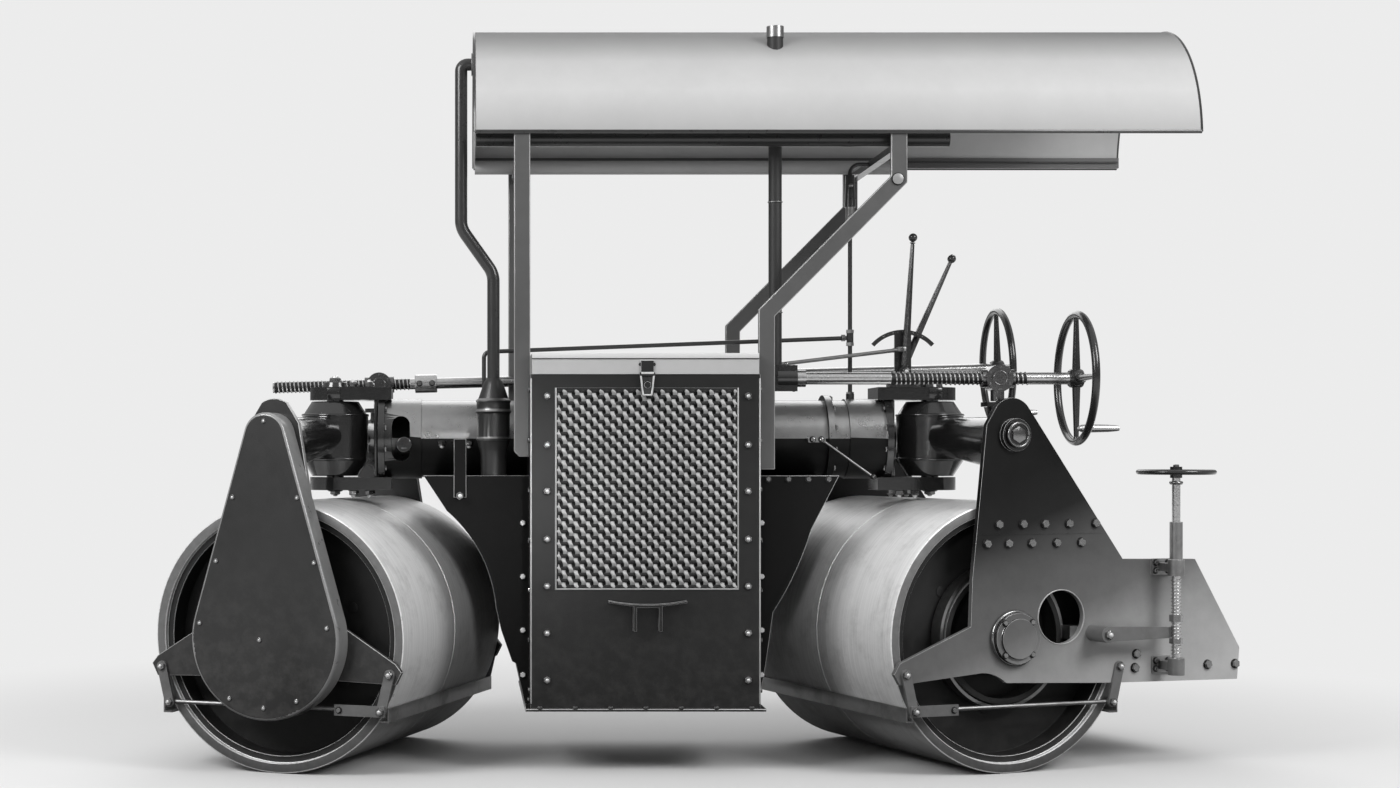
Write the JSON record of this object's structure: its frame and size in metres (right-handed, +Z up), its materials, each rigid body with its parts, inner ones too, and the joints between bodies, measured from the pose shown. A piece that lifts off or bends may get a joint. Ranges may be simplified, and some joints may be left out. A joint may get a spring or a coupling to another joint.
{
  "type": "tandem road roller",
  "caption": "Tandem road roller of about 1930: smooth rolls in pivoting yokes at each end of a tube frame, engine housing between them, long arched roof, handwheel screw steering.",
  "frame": {"origin": "on the ground under the middle of the whole outline as parked", "axes": "+X along the machine towards the open end of the roof and the deck, the right of the picture; +Y across it, away from the grille side; +Z up"},
  "size_m": [4.9646, 1.8822, 3.3808],
  "materials": {
    "dark_paint": "satin",
    "black_casting": "gloss",
    "roll_iron": "worn",
    "roof_sheet": "satin",
    "bright_steel": "machined"
  },
  "bodies": {
    "chassis": {"backbone_tube": "black_casting", "kingpins": "bright_steel", "frame_left": "dark_paint", "frame_right": "dark_paint", "engine_housing": "dark_paint", "housing_floor": "dark_paint", "engine_block": "black_casting", "radiator": "black_casting", "grille": "bright_steel", "roof_shell": "roof_sheet", "roof_beams": "dark_paint", "roof_posts_left": "dark_paint", "roof_posts_right": "dark_paint", "exhaust_pipe": "black_casting", "air_cleaner": "dark_paint", "intake_pipe": "dark_paint", "feed_pipe": "bright_steel", "control_stand": "black_casting", "hand_levers": "bright_steel", "control_rods": "bright_steel", "drain_lever": "black_casting", "screw_bearing_near": "black_casting", "screw_bearing_far": "black_casting"},
    "lid_near": {"lid_near": "dark_paint"},
    "lid_far": {"lid_far": "dark_paint"},
    "yoke_left": {"crosshead_left": "black_casting", "yoke_plate_left_near": "dark_paint", "yoke_plate_left_far": "dark_paint", "chain_case_left": "dark_paint", "axle_left": "bright_steel", "scrapers_left": "bright_steel"},
    "roll_left": {"roll_left": "roll_iron"},
    "yoke_right": {"crosshead_right": "black_casting", "yoke_plate_right_near": "dark_paint", "yoke_plate_right_far": "dark_paint", "chain_case_right": "dark_paint", "axle_right": "bright_steel", "scrapers_right": "bright_steel", "deck": "dark_paint", "brake_band": "bright_steel", "brake_lever": "bright_steel", "brake_screw": "bright_steel"},
    "roll_right": {"roll_right": "roll_iron", "brake_drum": "black_casting"},
    "steering_screw_near": {"steering_screw_near": "bright_steel"},
    "steering_screw_far": {"steering_screw_far": "bright_steel"},
    "nut_near": {"steering_nut_near": "bright_steel"},
    "nut_far": {"steering_nut_far": "bright_steel"}
  },
  "joints": [
    {"name": "steer_left", "type": "hinge", "parent": "chassis", "child": "yoke_left", "pos_m": [-1.68653, -0.0924, 1.48], "axis": [0, 0, 1], "range_deg": [-5, 45]},
    {"name": "steer_right", "type": "hinge", "parent": "chassis", "child": "yoke_right", "pos_m": [1.11147, -0.0924, 1.48], "axis": [0, 0, 1], "range_deg": [-44.5, 5.5]},
    {"name": "roll_left_spin", "type": "hinge", "parent": "yoke_left", "child": "roll_left", "pos_m": [-1.68653, -0.0924, 0.6], "axis": [0.342, 0.9397, 0], "continuous": true},
    {"name": "roll_right_spin", "type": "hinge", "parent": "yoke_right", "child": "roll_right", "pos_m": [1.11147, -0.0924, 0.6], "axis": [-0.3338, 0.9426, 0], "continuous": true},
    {"name": "lid_near_hinge", "type": "hinge", "parent": "chassis", "child": "lid_near", "pos_m": [-0.28753, -0.0924, 1.855], "axis": [-1, 0, 0], "range_deg": [0, 60]},
    {"name": "lid_far_hinge", "type": "hinge", "parent": "chassis", "child": "lid_far", "pos_m": [-0.28753, -0.0924, 1.855], "axis": [1, 0, 0], "range_deg": [0, 60]},
    {"name": "screw_near_spin", "type": "hinge", "parent": "chassis", "child": "steering_screw_near", "pos_m": [1.29339, -0.60614, 1.745], "axis": [1, 0, 0], "continuous": true},
    {"name": "screw_far_spin", "type": "hinge", "parent": "chassis", "child": "steering_screw_far", "pos_m": [-1.50013, 0.41973, 1.751], "axis": [0.9997, 0, 0.0262], "continuous": true},
    {"name": "nut_near_slide", "type": "slide", "parent": "chassis", "child": "nut_near", "axis": [1, 0, 0], "range_m": [-0.415, 0.055]},
    {"name": "nut_far_slide", "type": "slide", "parent": "chassis", "child": "nut_far", "axis": [0.9997, 0, 0.0262], "range_m": [-0.42, 0.05]}
  ],
  "couplings": [
    {"joint": "nut_near_slide", "follows": "steer_right", "m_per_rad": 0.5307},
    {"joint": "nut_far_slide", "follows": "steer_left", "m_per_rad": -0.5306}
  ]
}
